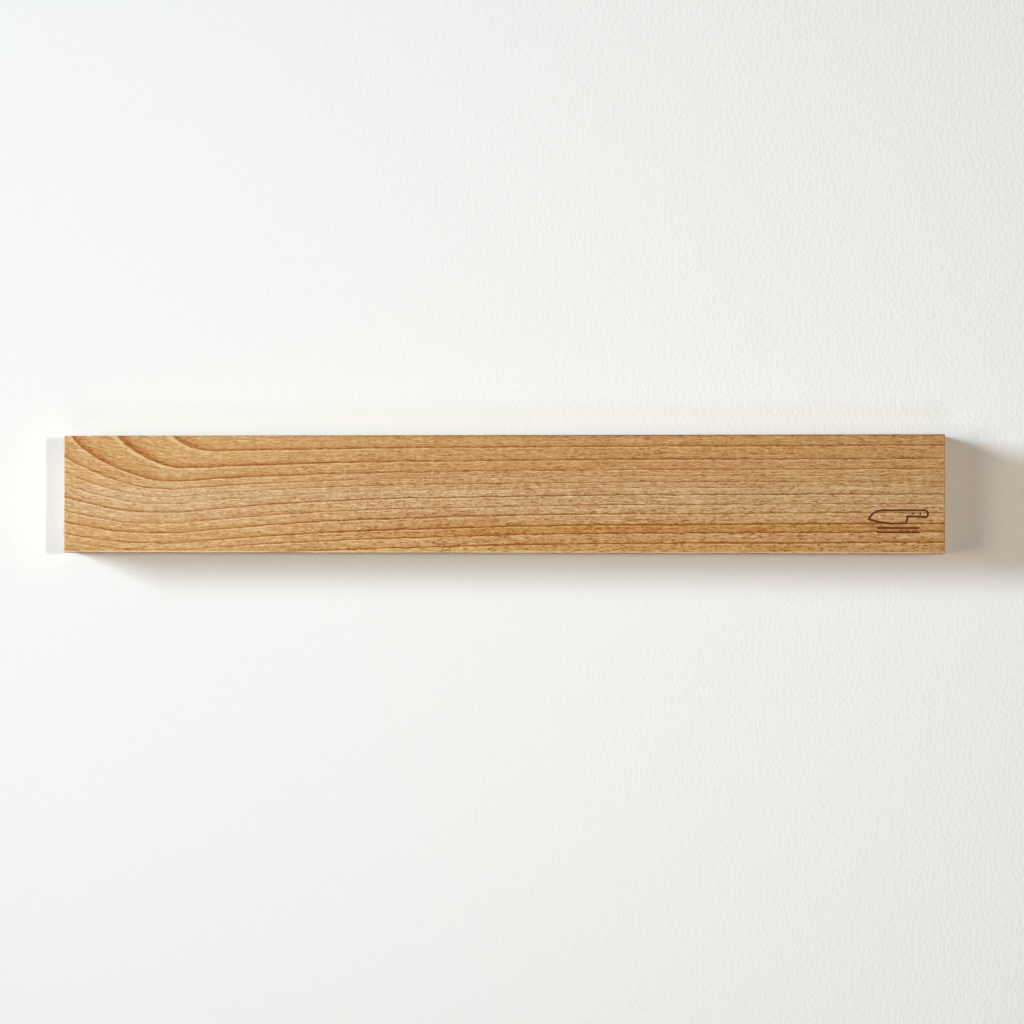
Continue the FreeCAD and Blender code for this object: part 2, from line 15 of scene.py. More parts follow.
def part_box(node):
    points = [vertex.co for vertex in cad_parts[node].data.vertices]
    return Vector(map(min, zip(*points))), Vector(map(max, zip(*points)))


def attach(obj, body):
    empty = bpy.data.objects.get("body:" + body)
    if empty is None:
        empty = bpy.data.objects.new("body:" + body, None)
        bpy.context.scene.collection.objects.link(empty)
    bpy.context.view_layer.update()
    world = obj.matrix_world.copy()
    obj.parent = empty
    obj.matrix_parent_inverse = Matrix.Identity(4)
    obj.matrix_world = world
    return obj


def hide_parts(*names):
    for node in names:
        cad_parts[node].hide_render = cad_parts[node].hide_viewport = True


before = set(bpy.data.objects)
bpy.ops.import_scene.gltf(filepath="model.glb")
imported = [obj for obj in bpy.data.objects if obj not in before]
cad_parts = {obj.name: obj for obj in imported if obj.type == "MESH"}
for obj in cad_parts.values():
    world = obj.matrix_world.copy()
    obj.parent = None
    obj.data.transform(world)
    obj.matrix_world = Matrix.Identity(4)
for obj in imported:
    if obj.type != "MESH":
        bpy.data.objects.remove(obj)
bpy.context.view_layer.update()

MM = 0.001
LOW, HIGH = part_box("beech_board")
LENGTH, DEPTH, HEIGHT = HIGH - LOW
SIDES = ("left", "right")
ROWS = ("upper", "lower")

# Fits and edges, as the parts have them
SANDED_EDGE = 0.6 * MM  # mean radius of the board's outer edges
CUTTER_RADIUS = 3 * MM
STRIP_CORNER = 6.15 * MM
STRIP_PLAY = 0.15 * MM
YOKE_PLAY = 0.5 * MM
GROOVE_END_PLAY = 2 * MM
GROOVE_SIDE_PLAY = 0.3 * MM
PLATE_PLAY = 0.15 * MM
PILOT_RADIUS = 1.55 * MM
PILOT_PAST_POINT = 0.5 * MM
HEAD_POCKET_WIDTH = 12.5 * MM
HEAD_POCKET_HEIGHT = 22 * MM
HEAD_POCKET_RISE = 0.25 * MM  # the pocket's middle above the plate's
HEAD_POCKET_DEPTH = 6 * MM
BEHIND_BOARD = HIGH.y + 1 * MM  # where the cutters start
WELD_DISTANCE = 0.002 * MM

# Unevenness of the sanded edges
WOBBLE = 0.35
WOBBLE_LENGTH = 28 * MM
WOBBLE_LAYER = 0.7

MARK_LENGTH = 29.5 * MM
MARK_FROM_RIGHT = 23.2 * MM
MARK_FROM_BOTTOM = 16.8 * MM
MARK_LINE = 1.0 * MM
MARK_CUT = 0.3 * MM
MARK_CLEARANCE = 0.2 * MM  # of its cutter, in front of the board
UNEVEN_LINE = 0.12
LONGEST_MITRE = 2
# In shares of the mark's length, from its middle
RIVETS_RIGHT = (0.25, 0.37)
RIVETS_UP = 0.115
RULES_UP = (-0.13, -0.2035)
RULE_LENGTH = 0.72
RULE_CORNER = 0.2 * MM


def srgb(red, green, blue):
    """A colour given as on a colour chart, 0 to 255, as linear light."""

    def linear(channel):
        share = channel / 255
        return share / 12.92 if share <= 0.04045 else ((share + 0.055) / 1.055) ** 2.4

    return linear(red), linear(green), linear(blue), 1.0


# ------------------------------------------------------------ node arithmetic

NOISE_STRETCH = 2.6  # Blender's noise is mostly within 0.1 to 0.9


class Term:
    """A number inside a material's node tree. Arithmetic on it adds Math nodes."""

    def __init__(self, tree, socket):
        self.tree = tree
        self.socket = socket

    def maths(self, operation, *others, clamp=False):
        """The result of a Math node on this number and the others."""
        node = self.tree.nodes.new("ShaderNodeMath")
        node.operation = operation
        node.use_clamp = clamp
        for socket, value in zip(node.inputs, (self, *others)):
            feed(self.tree, socket, value)
        return Term(self.tree, node.outputs[0])

    def __add__(self, other):
        return self.maths("ADD", other)

    def __sub__(self, other):
        return self.maths("SUBTRACT", other)

    def __mul__(self, other):
        return self.maths("MULTIPLY", other)

    def __truediv__(self, other):
        return self.maths("DIVIDE", other)

    def __pow__(self, other):
        return self.maths("POWER", other)

    __radd__ = __add__

    def __rsub__(self, other):
        return self * -1 + other

    def above(self, low, high):
        """0 up to low and 1 from high, smooth between; falls if low is the greater."""
        node = self.tree.nodes.new("ShaderNodeMapRange")
        node.interpolation_type = "SMOOTHSTEP"
        feed(self.tree, node.inputs["Value"], self)
        node.inputs["From Min"].default_value = min(low, high)
        node.inputs["From Max"].default_value = max(low, high)
        node.inputs["To Min"].default_value = float(low > high)
        node.inputs["To Max"].default_value = float(low < high)
        return Term(self.tree, node.outputs[0])

    def bell(self, middle, width):
        """1 at middle, falling to 1/e at a distance of width."""
        off = (self - middle) / width
        return (off * off * -1).maths("EXPONENT")


def feed(tree, socket, value):
    """Links a Term, or sets a plain number or colour."""
    if isinstance(value, Term):
        tree.links.new(value.socket, socket)
    else:
        socket.default_value = value


def place_in_mm(tree):
    """The surface point's x, y and z in the rack's own frame, in millimetres."""
    coordinates = tree.nodes.new("ShaderNodeTexCoord")
    split = tree.nodes.new("ShaderNodeSeparateXYZ")
    tree.links.new(coordinates.outputs["Object"], split.inputs[0])
    return [Term(tree, output) / MM for output in split.outputs]


def vector(tree, *terms):
    """Three numbers as one vector Term."""
    node = tree.nodes.new("ShaderNodeCombineXYZ")
    for socket, value in zip(node.inputs, terms):
        feed(tree, socket, value)
    return Term(tree, node.outputs[0])


def in_steps(tree, place, sizes, shift=0.0):
    """A place counted in steps of the given sizes along its three axes, and shifted along the first."""
    first, *others = (term / size for term, size in zip(place, sizes))
    return vector(tree, first + shift, *others)


def between(share, at_none, at_full):
    """The number at_none where share is 0 and at_full where it is 1."""
    return share * (at_full - at_none) + at_none


def weighted(patterns, weights, start=0.0):
    """A number plus each pattern that the table of weights names, times its weight."""
    total = start
    for kind, weight in weights.items():
        total = patterns[kind] * weight + total
    return total


def clouds(tree, at, detail, roughness=0.5):
    """Smooth noise about 0, mostly within -1 to 1, at a vector Term."""
    node = tree.nodes.new("ShaderNodeTexNoise")
    feed(tree, node.inputs["Vector"], at)
    node.inputs["Scale"].default_value = 1
    node.inputs["Detail"].default_value = detail
    node.inputs["Roughness"].default_value = roughness
    return (Term(tree, node.outputs[0]) - 0.5) * NOISE_STRETCH


def cells(tree, at):
    """Distance to the nearest of scattered points, and a random number that goes with that point."""
    node = tree.nodes.new("ShaderNodeTexVoronoi")
    feed(tree, node.inputs["Vector"], at)
    node.inputs["Scale"].default_value = 1
    split = tree.nodes.new("ShaderNodeSeparateColor")
    tree.links.new(node.outputs["Color"], split.inputs[0])
    return Term(tree, node.outputs["Distance"]), Term(tree, split.outputs[0])


def mix(tree, share, first, second):
    """The colour first where share is 0 and second where it is 1."""
    node = tree.nodes.new("ShaderNodeMix")
    node.data_type = "RGBA"
    feed(tree, node.inputs["Factor"], share)
    for socket, value in zip(node.inputs[6:8], (first, second)):  # its two colour inputs
        feed(tree, socket, value)
    return Term(tree, node.outputs[2])


def ramp(tree, share, colours):
    """A colour from an evenly spaced row of them, at share of its length."""
    node = tree.nodes.new("ShaderNodeValToRGB")
    stops = node.color_ramp.elements
    for number in range(1, len(colours) - 1):
        stops.new(number / (len(colours) - 1))
    for stop, colour in zip(stops, colours):
        stop.color = colour
    feed(tree, node.inputs[0], share)
    return Term(tree, node.outputs[0])


def multiply(tree, first, second):
    """Two colours multiplied channel by channel."""
    node = tree.nodes.new("ShaderNodeVectorMath")
    node.operation = "MULTIPLY"
    feed(tree, node.inputs[0], first)
    feed(tree, node.inputs[1], second)
    return Term(tree, node.outputs[0])


def brighten(tree, colour, factor):
    """A colour multiplied by a number."""
    node = tree.nodes.new("ShaderNodeVectorMath")
    node.operation = "SCALE"
    feed(tree, node.inputs[0], colour)
    feed(tree, node.inputs["Scale"], factor)
    return Term(tree, node.outputs[0])


def new_material(name):
    """An empty node material, its tree and its Principled shader."""
    material = bpy.data.materials.new(name)
    material.use_nodes = True
    tree = material.node_tree
    return material, tree, tree.nodes["Principled BSDF"]


def emboss(tree, shader, height, depth):
    """Bump from a height Term, where a height of 1 stands depth metres proud."""
    node = tree.nodes.new("ShaderNodeBump")
    node.inputs["Distance"].default_value = depth
    feed(tree, node.inputs["Height"], height)
    tree.links.new(node.outputs["Normal"], shader.inputs["Normal"])


# ----------------------------------------------------------------- the beech

# From the darkest fleck to the palest streak, in even steps
WOOD_COLOURS = (
    srgb(146, 82, 22),
    srgb(172, 112, 50),
    srgb(195, 147, 95),
    srgb(211, 174, 127),
    srgb(232, 206, 170),
)
NEUTRAL_TINT = (1.0, 1.0, 1.0, 1.0)
ORANGE_TINT = (0.99, 0.872, 0.63, 1.0)

# Lengths in the wood are in mm: along it from its left end, up from its bottom edge
PITH_BEHIND = 78  # the tree's middle, behind the front face
PITH_UP = 110
# For each ring line from below: its height at the dip of the figure, how dark it is at the left end and at
# the right end, and how orange the wood above it is towards the right
RING_LINES = (
    (-12, 0.5, 0.5, 0.2),
    (-7.5, 0.5, 0.5, 0.2),
    (-3, 0.6, 0.8, 0.2),
    (1.0, 0.7, 0.9, 1.0),
    (4.5, 0.8, 1.0, 0.2),
    (9.7, 1.0, 0.7, 0.0),
    (14.5, 0.5, 0.5, 0.0),
    (20.2, 0.8, 1.0, 0.0),
    (24.6, 0.4, 0.3, 0.0),
    (28.3, 0.4, 0.6, 0.1),
    (32.2, 0.8, 0.3, 0.0),
    (36.2, 1.0, 0.5, 0.1),
    (42.8, 1.0, 0.5, 0.2),
    (51, 0.9, 0.55, 0.2),
    (59.5, 0.8, 0.5, 0.3),
)
RINGS_BEHIND = 6  # more rings towards the pith, seen only on the top and the back
RING_WIDTH_BEHIND = 3.8
LINE_BEHIND = (0.6, 0.6, 0.2)

# The board's figure
DIP_ALONG = 31  # where the rings are lowest, at the bottom edge
DIP_LEAN = 58  # and how much further to the right at the top edge
DIP_CURVE = 2.4
DIP_ROUNDNESS = 5
DIP_SLOPE = 0.14  # of the rings to its left at the bottom edge; twice that at the top edge
RISE_START = 60  # from here the rings rise again, less and less
RISE_LENGTH = 90
RISE_HEIGHT = 10.8
MOST_RISE = (20, 30)  # how far up they rise most, and how soon they rise less above and below

# The closing strip's figure
STRIP_WAVE = 1.5
STRIP_WAVE_LENGTH = 130
STRIP_SLOPE = 0.012

# Unevenness of the rings: its size along, through and up the wood, and how far it moves them
WAVE_SIZE = (80, 30, 30)
WAVE_HEIGHT = 0.4
RIPPLE_SIZE = (10, 5, 5)
RIPPLE_HEIGHT = 0.5
SWERVE_SIZE = (25, 4, 4)  # the same for the fibres
SWERVE_ALONG = 4
SWERVE_ACROSS = 0.4
TURN_RADIUS = 110  # turns an angle round the pith into a length
SEED_SHIFT = 600  # between pieces cut from different boards

# Where a pattern fades in or out: along the wood, or as a share of the way outwards through a ring
LEFT_PART = (190, 60)
BAND_FADES_IN = (120, 230)
EARLY_WOOD = (0.20, 0.04)
WEDGE = (0.45, 1.0)
LINE_FADES_IN = (0.80, 0.94)
LINE_FADES_OUT = (1.0, 0.985)
UNBROKEN = (-1.1, 0.3)  # this and the next, out of noise from -1 to 1
ROW_KEPT = (-0.2, 0.9)
LEFT_UNBROKEN = 0.7  # fewer breaks at the left
LEAST_EARLY = 0.3  # in a ring with a faint line
WEDGE_RIGHT = 0.35
ROWS_PER_RING = 2.6
ROW_WIDTH = 0.13
TONE_LENGTH = 120  # how long a ring keeps its tone, its line is unbroken and a row is unbroken
BREAK_LENGTH = 9
ROW_LENGTH = 8
BREAK_DEPTH = 8
TONE_STEP = 3.7  # these three set the noise of one ring or row apart from the next one's
BREAK_STEP = 5.3
ROW_STEP = 7.3

MOTTLE_SIZE = (60, 9, 9)
# Noise drawn out along the fibres: its size along them, round the pith and away from it, detail and roughness
FIBRE_NOISE = {
    "fine": ((2.0, 0.28, 0.5), 1, 0.5),
    "streak": ((13, 0.42, 0.7), 2, 0.6),
    "stripe": ((26, 1.3, 2), 2, 0.5),
}
# Short marks, at most one to a cell: the cell's size in the same way, a shift that keeps the kinds apart, and
# the distances from its point at which a mark starts and is full
FLECKS = {
    "dash": ((5.0, 0.34, 9), 0.0, (0.50, 0.22)),
    "speck": ((2.5, 0.30, 6), 31.7, (0.50, 0.15)),
    "gleam": ((7, 0.5, 7), 71.3, (0.55, 0.15)),
}
FLECK_CHANCE = (0.2, 0.9)

# The tone goes from 0, the first of WOOD_COLOURS, to 1, the last
PLAIN_TONE = 0.72
LIGHTENS = {  # how far each pattern raises it
    "ring_tone": 0.06,
    "mottle": 0.06,
    "stripe": 0.10,
    "early": 0.26,
    "band": -0.08,
    "streak": 0.26,
    "fine": 0.32,
    "gleam": 0.26,
}
DARKENS = {  # how far each lowers it, at the left end and to the right
    "line": (0.20, 0.76),
    "wedge": (0.28, 0.46),
    "dash": (0.24, 0.48),
    "speck": (0.32, 0.62),
    "row": (0.16, 0.48),
}

# The arrises of the front face: a painted highlight along the left and bottom ones, where light catches their
# rounding, and a darker strip along the top one. For each strip, where it begins and where it is full
FRONT_EDGE = (1.4, 0.7)  # behind the face
LEFT_EDGE = (1.1, 0.3)
BOTTOM_EDGE = (1.3, 0.4)
TOP_EDGE = (58.7, 59.6)
TOP_EDGE_START = (70, 130)  # along the board
TOP_EDGE_DARKER = 0.3
PAINTED_EDGE_HIGHLIGHT = 0.5

# How orange the wood is, and how much less so in a pale strip along its middle
ORANGE = 0.86
MOTTLE_ORANGE = 0.14
BAND_ORANGE = 0.5
BAND_DEEPER_ORANGE = 0.6
WEDGE_ORANGE = 0.9
PALE_MIDDLE = (27, 11)  # how far up, and how wide
PALE_SPOT = (45, 40)  # how far along, and how long
MIDDLE_PALENESS = 0.62
SPOT_PALENESS = 0.3
BRIGHTNESS = 0.94
MIDDLE_BRIGHTER = 0.03
# dimming to the right: partly the wood's own tone, partly a painted falloff of the light from the left
DIMMER_PER_MM = 0.00036

PORES = {"fine": 0.25, "dash": -0.5, "speck": -0.25}  # their height, in units of PORE_DEPTH
PORE_DEPTH = 0.02 * MM
ROUGHENS = {"dash": 0.12, "fine": 0.04, "mottle": 0.03}
OILED = (0.50, 0.35)  # roughness and specular level
UNOILED = (0.66, 0.3)

CHAR_GRAIN_SIZE = (3, 0.4, 0.35)
CHAR_SPOT_SIZE = (0.8, 0.8, 0.8)
CHAR_DEPTH = 0.03 * MM
CHAR_ROUGHNESS = 0.82


def softplus(term, softness):
    """0 for negative terms and the term itself for positive ones, with a round corner."""
    return ((term / softness).maths("EXPONENT") + 1).maths("LOGARITHM", e) * softness


def hypotenuse(first, second):
    """The distance that two Terms at right angles make."""
    return (first * first + second * second).maths("SQRT")


def dipping_figure(along, up):
    """The height at which a ring would run if the board had no figure.

    At the left end the rings come down to a dip, steeply above and gently below. Its place moves to the right
    towards the top, and from there the rings rise a little and level out.
    """
    share_up = (up / (HEIGHT / MM)).maths("MAXIMUM", 0.0)
    dip = share_up**DIP_CURVE * DIP_LEAN + DIP_ALONG
    falling = softplus(dip - along, DIP_ROUNDNESS) * (share_up + 1) * DIP_SLOPE
    past_dip = (along - RISE_START).maths("MAXIMUM", 0.0) / -RISE_LENGTH
    rising = (1 - past_dip.maths("EXPONENT")) * up.bell(*MOST_RISE) * RISE_HEIGHT
    return up - falling - rising


def even_figure(along, up):
    """Nearly straight rings that climb a little along the piece."""
    return up + (along / STRIP_WAVE_LENGTH).maths("SINE") * STRIP_WAVE - along * STRIP_SLOPE


def ring_number(tree, radius):
    """Counts the rings outwards by the distance from the pith, with the uneven widths of RING_LINES."""
    radii = [hypot(PITH_BEHIND, PITH_UP - line[0]) for line in RING_LINES[::-1]]
    radii = [radii[0] - RING_WIDTH_BEHIND * n for n in range(RINGS_BEHIND, 0, -1)] + radii
    count = len(radii) - 1
    span = radii[-1] - radii[0]
    node = tree.nodes.new("ShaderNodeFloatCurve")
    points = node.mapping.curves[0].points
    for number, edge in enumerate(radii[1:-1], start=1):
        points.new((edge - radii[0]) / span, number / count)
    for point in points:
        point.handle_type = "VECTOR"
    node.mapping.update()
    feed(tree, node.inputs["Value"], (radius - radii[0]) / span)
    return Term(tree, node.outputs[0]) * count


def ring_character(tree, ring):
    """How dark the ring's line is at the left and at the right, and how orange its wood is."""
    lines = [line[1:] for line in RING_LINES[::-1]]
    lines = [LINE_BEHIND] * (RINGS_BEHIND - 1) + lines
    node = tree.nodes.new("ShaderNodeValToRGB")
    node.color_ramp.interpolation = "CONSTANT"
    stops = node.color_ramp.elements
    for number in range(1, len(lines) - 1):
        stops.new(number / len(lines))
    for number, (stop, line) in enumerate(zip(stops, lines)):
        stop.position = number / len(lines)
        stop.color = (*line, 1.0)
    feed(tree, node.inputs[0], (ring + 0.5) / len(lines))
    split = tree.nodes.new("ShaderNodeSeparateColor")
    tree.links.new(node.outputs[0], split.inputs[0])
    return [Term(tree, output) for output in split.outputs]


def ring_patterns(tree, number, along, left, fibre, y):
    """What changes from ring to ring and within a ring."""
    ring = number.maths("FLOOR")
    share = number.maths("FRACT")
    dark_left, dark_right, warm = ring_character(tree, ring)
    darkness = dark_left * left + dark_right * (1 - left)
    breaks = clouds(tree, vector(tree, fibre / BREAK_LENGTH, ring * BREAK_STEP, y / BREAK_DEPTH), 3)
    unbroken = (breaks + left * LEFT_UNBROKEN).above(*UNBROKEN)
    rows = number * ROWS_PER_RING
    row_step = rows.maths("FLOOR") * ROW_STEP
    row_breaks = clouds(tree, vector(tree, fibre / ROW_LENGTH, row_step, y / BREAK_DEPTH), 3)
    return {
        "ring_tone": clouds(tree, vector(tree, ring * TONE_STEP, fibre / TONE_LENGTH, 0.0), 1),
        "early": share.above(*EARLY_WOOD) * between(darkness, LEAST_EARLY, 1),
        "wedge": share.above(*WEDGE) ** 2 * darkness * between(left, WEDGE_RIGHT, 1),
        "line": share.above(*LINE_FADES_IN) * share.above(*LINE_FADES_OUT) * unbroken * darkness,
        "band": warm * along.above(*BAND_FADES_IN),
        "row": rows.maths("FRACT").bell(0.5, ROW_WIDTH) * row_breaks.above(*ROW_KEPT),
    }


def grain_patterns(tree, grain):
    """Fibres and flecks, at a place given along the fibres, round the pith and away from it."""
    patterns = {}
    for kind, (sizes, detail, roughness) in FIBRE_NOISE.items():
        patterns[kind] = clouds(tree, in_steps(tree, grain, sizes), detail, roughness)
    for kind, (sizes, shift, reach) in FLECKS.items():
        distance, chance = cells(tree, in_steps(tree, grain, sizes, shift))
        patterns[kind] = distance.above(*reach) * chance.above(*FLECK_CHANCE)
    return patterns


def wood_tone(patterns, left, along, depth, up):
    """How pale the wood is, as a share of the way along WOOD_COLOURS."""
    tone = weighted(patterns, LIGHTENS, PLAIN_TONE)
    for kind, (at_left, at_right) in DARKENS.items():
        tone = tone - patterns[kind] * between(left, at_right, at_left)
    front = depth.above(*FRONT_EDGE)
    top_edge = up.above(*TOP_EDGE) * along.above(*TOP_EDGE_START) * front
    # painted highlight along the left and bottom arrises of the front face, and a darker strip along its top
    # arris
    edge_highlight = (up.above(*BOTTOM_EDGE) + along.above(*LEFT_EDGE)).maths("MINIMUM", 1.0) * front
    return tone - top_edge * TOP_EDGE_DARKER + edge_highlight * PAINTED_EDGE_HIGHLIGHT


def tinted(tree, colour, patterns, left, along, up):
    """The colour made less orange along the middle, more so in the band, and dimmer to the right, partly as
    the wood's own tone and partly as a painted falloff of the light from the left.
    """
    middle = up.bell(*PALE_MIDDLE)
    pale = middle * (along.bell(*PALE_SPOT) * SPOT_PALENESS + MIDDLE_PALENESS)
    orange = ORANGE - pale + patterns["mottle"] * MOTTLE_ORANGE + patterns["band"] * BAND_ORANGE
    orange = orange + patterns["wedge"] * left * WEDGE_ORANGE
    for share in (orange, patterns["band"] * BAND_DEEPER_ORANGE):
        colour = multiply(tree, colour, mix(tree, share, NEUTRAL_TINT, ORANGE_TINT))
    return brighten(tree, colour, BRIGHTNESS - along * DIMMER_PER_MM + middle * MIDDLE_BRIGHTER)


def wood(name, figure, seed, finish):
    """Beech as a solid: rings, rays and fibres run through it, so each face is cut as it would be."""
    material, tree, shader = new_material(name)
    x, y, z = place_in_mm(tree)
    along = x + LENGTH / MM / 2
    depth = y + DEPTH / MM
    up = z + HEIGHT / MM / 2
    place = (along + seed * SEED_SHIFT, y, z)

    wave = clouds(tree, in_steps(tree, place, WAVE_SIZE), 1) * WAVE_HEIGHT
    ripple = clouds(tree, in_steps(tree, place, RIPPLE_SIZE), 3, 0.6) * RIPPLE_HEIGHT
    height = figure(along, up + wave + ripple)
    back = PITH_BEHIND - depth
    number = ring_number(tree, hypotenuse(back, PITH_UP - height))

    # Fibres and rays follow the rings halfway and otherwise keep to the board's length.
    swerve = clouds(tree, in_steps(tree, place, SWERVE_SIZE), 2)
    across = PITH_UP - (up + height) / 2 + swerve * SWERVE_ACROSS
    fibre = place[0] + swerve * SWERVE_ALONG
    turn = back.maths("ARCTAN2", across) * TURN_RADIUS

    left = along.above(*LEFT_PART)
    patterns = ring_patterns(tree, number, along, left, fibre, y)
    patterns.update(grain_patterns(tree, (fibre, turn, hypotenuse(back, across))))
    patterns["mottle"] = clouds(tree, in_steps(tree, (fibre, z, y), MOTTLE_SIZE), 2)
    colour = ramp(tree, wood_tone(patterns, left, along, depth, up), WOOD_COLOURS)
    colour = tinted(tree, colour, patterns, left, along, up)
    tree.links.new(colour.socket, shader.inputs["Base Color"])

    emboss(tree, shader, weighted(patterns, PORES), PORE_DEPTH)
    dullness, specular_level = finish
    roughness = weighted(patterns, ROUGHENS, dullness)
    tree.links.new(roughness.socket, shader.inputs["Roughness"])
    shader.inputs["Specular IOR Level"].default_value = specular_level
    return material


def burnt_wood():
    """The char on the floor and walls of the engraved lines."""
    material, tree, shader = new_material("burnt_wood")
    place = place_in_mm(tree)
    grain = clouds(tree, in_steps(tree, place, CHAR_GRAIN_SIZE), 3)
    spots = clouds(tree, in_steps(tree, place, CHAR_SPOT_SIZE), 2)
    paleness = (grain * 0.5 + spots * 0.3 + 0.4).maths("ADD", 0.0, clamp=True)
    colour = mix(tree, paleness, srgb(84, 40, 20), srgb(122, 68, 38))
    tree.links.new(colour.socket, shader.inputs["Base Color"])
    emboss(tree, shader, grain + spots, CHAR_DEPTH)
    roughness = spots * 0.06 + CHAR_ROUGHNESS
    tree.links.new(roughness.socket, shader.inputs["Roughness"])
    shader.inputs["Specular IOR Level"].default_value = 0.1
    return material


# ---------------------------------------------------------------- the metals

# Sizes of the patterns in mm, and depths
HAZE_SIZE = (5, 5, 5)
GRIT_SIZE = (0.25, 0.25, 0.25)
SCRATCH_SIZE = (0.12, 0.3, 6)
SCRATCH_DEPTH = 0.01 * MM
ROLLING_LINE_SIZE = (40, 0.3, 0.3)
ROLLING_LINE_DEPTH = 0.008 * MM
STAIN_SIZE = (22, 9, 9)
STEEL_ROUGHNESS = 0.42


def plated(name, light, dark, roughness, scratches):
    """Plated metal with a faint cloudiness and fine scratches in all directions."""
    material, tree, shader = new_material(name)
    x, y, z = place_in_mm(tree)
    haze = clouds(tree, in_steps(tree, (x, y, z), HAZE_SIZE), 3)
    grit = clouds(tree, in_steps(tree, (x, y, z), GRIT_SIZE), 2)
    scratch = clouds(tree, in_steps(tree, (x + z, y, x - z), SCRATCH_SIZE), 2)
    darkness = (haze * 0.4 + grit * 0.15 + 0.5).maths("ADD", 0.0, clamp=True)
    colour = mix(tree, darkness, light, dark)
    tree.links.new(colour.socket, shader.inputs["Base Color"])
    shader.inputs["Metallic"].default_value = 1
    uneven = haze * 0.07 + scratch * scratches + roughness
    tree.links.new(uneven.socket, shader.inputs["Roughness"])
    emboss(tree, shader, scratch * scratches + grit * 0.1, SCRATCH_DEPTH)
    return material


def rolled_steel():
    """Mill-finish steel strip, with rolling lines along its length."""
    material, tree, shader = new_material("rolled_steel")
    place = place_in_mm(tree)
    lines = clouds(tree, in_steps(tree, place, ROLLING_LINE_SIZE), 3, 0.6)
    stain = clouds(tree, in_steps(tree, place, STAIN_SIZE), 4)
    colour = mix(tree, stain.above(-0.3, 1.1), srgb(176, 176, 178), srgb(138, 134, 130))
    colour = brighten(tree, colour, 1 + lines * 0.06)
    tree.links.new(colour.socket, shader.inputs["Base Color"])
    shader.inputs["Metallic"].default_value = 1
    roughness = lines * 0.06 + stain * 0.08 + STEEL_ROUGHNESS
    tree.links.new(roughness.socket, shader.inputs["Roughness"])
    emboss(tree, shader, lines, ROLLING_LINE_DEPTH)
    return material


# ------------------------------------------------------------- mesh building


def new_piece(name, bm, materials):
    """Turns a bmesh into a piece of the rack that rides on its only body."""
    mesh = bpy.data.meshes.new(name)
    bmesh.ops.recalc_face_normals(bm, faces=bm.faces)
    bm.to_mesh(mesh)
    bm.free()
    for material in materials:
        mesh.materials.append(material)
    piece = bpy.data.objects.new(name, mesh)
    bpy.context.scene.collection.objects.link(piece)
    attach(piece, "root")
    return piece


def sanded_radius(x, z):
    """Radius of the outer edges near a point: sanding by hand leaves it a little uneven."""
    wobble = noise.noise(Vector((x / WOBBLE_LENGTH, z / WOBBLE_LENGTH, WOBBLE_LAYER)))
    return SANDED_EDGE * (1 + WOBBLE * wobble)


def lattice(low, high, arc_steps, step):
    """Stations along one axis, as (share of the edge rounding, -1 to 1, and coordinate)."""
    count = max(1, round((high - low) / step))
    inside = [low + (high - low) * n / count for n in range(1, count)]
    stations = [(-1 + n / arc_steps, low) for n in range(arc_steps)]
    stations += [(0, place) for place in inside]
    stations += [((n + 1) / arc_steps, high) for n in range(arc_steps)]
    return stations


def rounded_block(bm, low, high, radius_at, arc_steps=3, step=6 * MM):
    """A block whose edges are rounded by a radius that may change along them."""
    axes = [lattice(low[axis], high[axis], arc_steps, step) for axis in range(3)]
    last = [len(stations) - 1 for stations in axes]
    corners = {}

    def corner(*index):
        if index not in corners:
            stations = [axes[axis][i] for axis, i in enumerate(index)]
            radius = radius_at(stations[0][1], stations[2][1])
            lean = Vector([tan(share * pi / 4) for share, _ in stations]).normalized()
            place = []
            for share, coordinate in stations:
                inward = (share < 0) - (share > 0)
                place.append(coordinate + inward * radius)
            corners[index] = bm.verts.new(Vector(place) + lean * radius)
        return corners[index]

    for axis in range(3):
        first, second = (axis + 1) % 3, (axis + 2) % 3
        for end in (0, last[axis]):
            for i in range(last[first]):
                for j in range(last[second]):
                    quad = []
                    for di, dj in ((0, 0), (1, 0), (1, 1), (0, 1)):
                        index = [0, 0, 0]
                        index[axis], index[first], index[second] = end, i + di, j + dj
                        quad.append(corner(*index))
                    bm.faces.new(quad)


def rounded_outline(width, height, radius, arc_steps=8):
    """Points of a rectangle with round corners about the origin, in order."""
    points = []
    for quarter, (sign_x, sign_z) in enumerate(((1, 1), (-1, 1), (-1, -1), (1, -1))):
        middle = Vector((sign_x * (width / 2 - radius), sign_z * (height / 2 - radius)))
        for step in range(arc_steps + 1):
            angle = (quarter + step / arc_steps) * pi / 2
            points.append(middle + Vector((cos(angle), sin(angle))) * radius)
    return points


def prism(bm, outline, middle, near, far):
    """Extrudes an outline in X and Z between two depths in Y."""
    rings = []
    for y in (near, far):
        rings.append([bm.verts.new((middle.x + p.x, y, middle.z + p.y)) for p in outline])
    bm.faces.new(rings[0])
    bm.faces.new(rings[1])
    for i in range(len(outline)):
        j = (i + 1) % len(outline)
        bm.faces.new((rings[0][i], rings[0][j], rings[1][j], rings[1][i]))


def milled(bm, low, high, play_x, play_z, radius):
    """A cutter from behind the board that clears the box low to high, rounded in its corners."""
    size = high - low
    outline = rounded_outline(size.x + 2 * play_x, size.z + 2 * play_z, radius)
    prism(bm, outline, (low + high) / 2, BEHIND_BOARD, low.y)


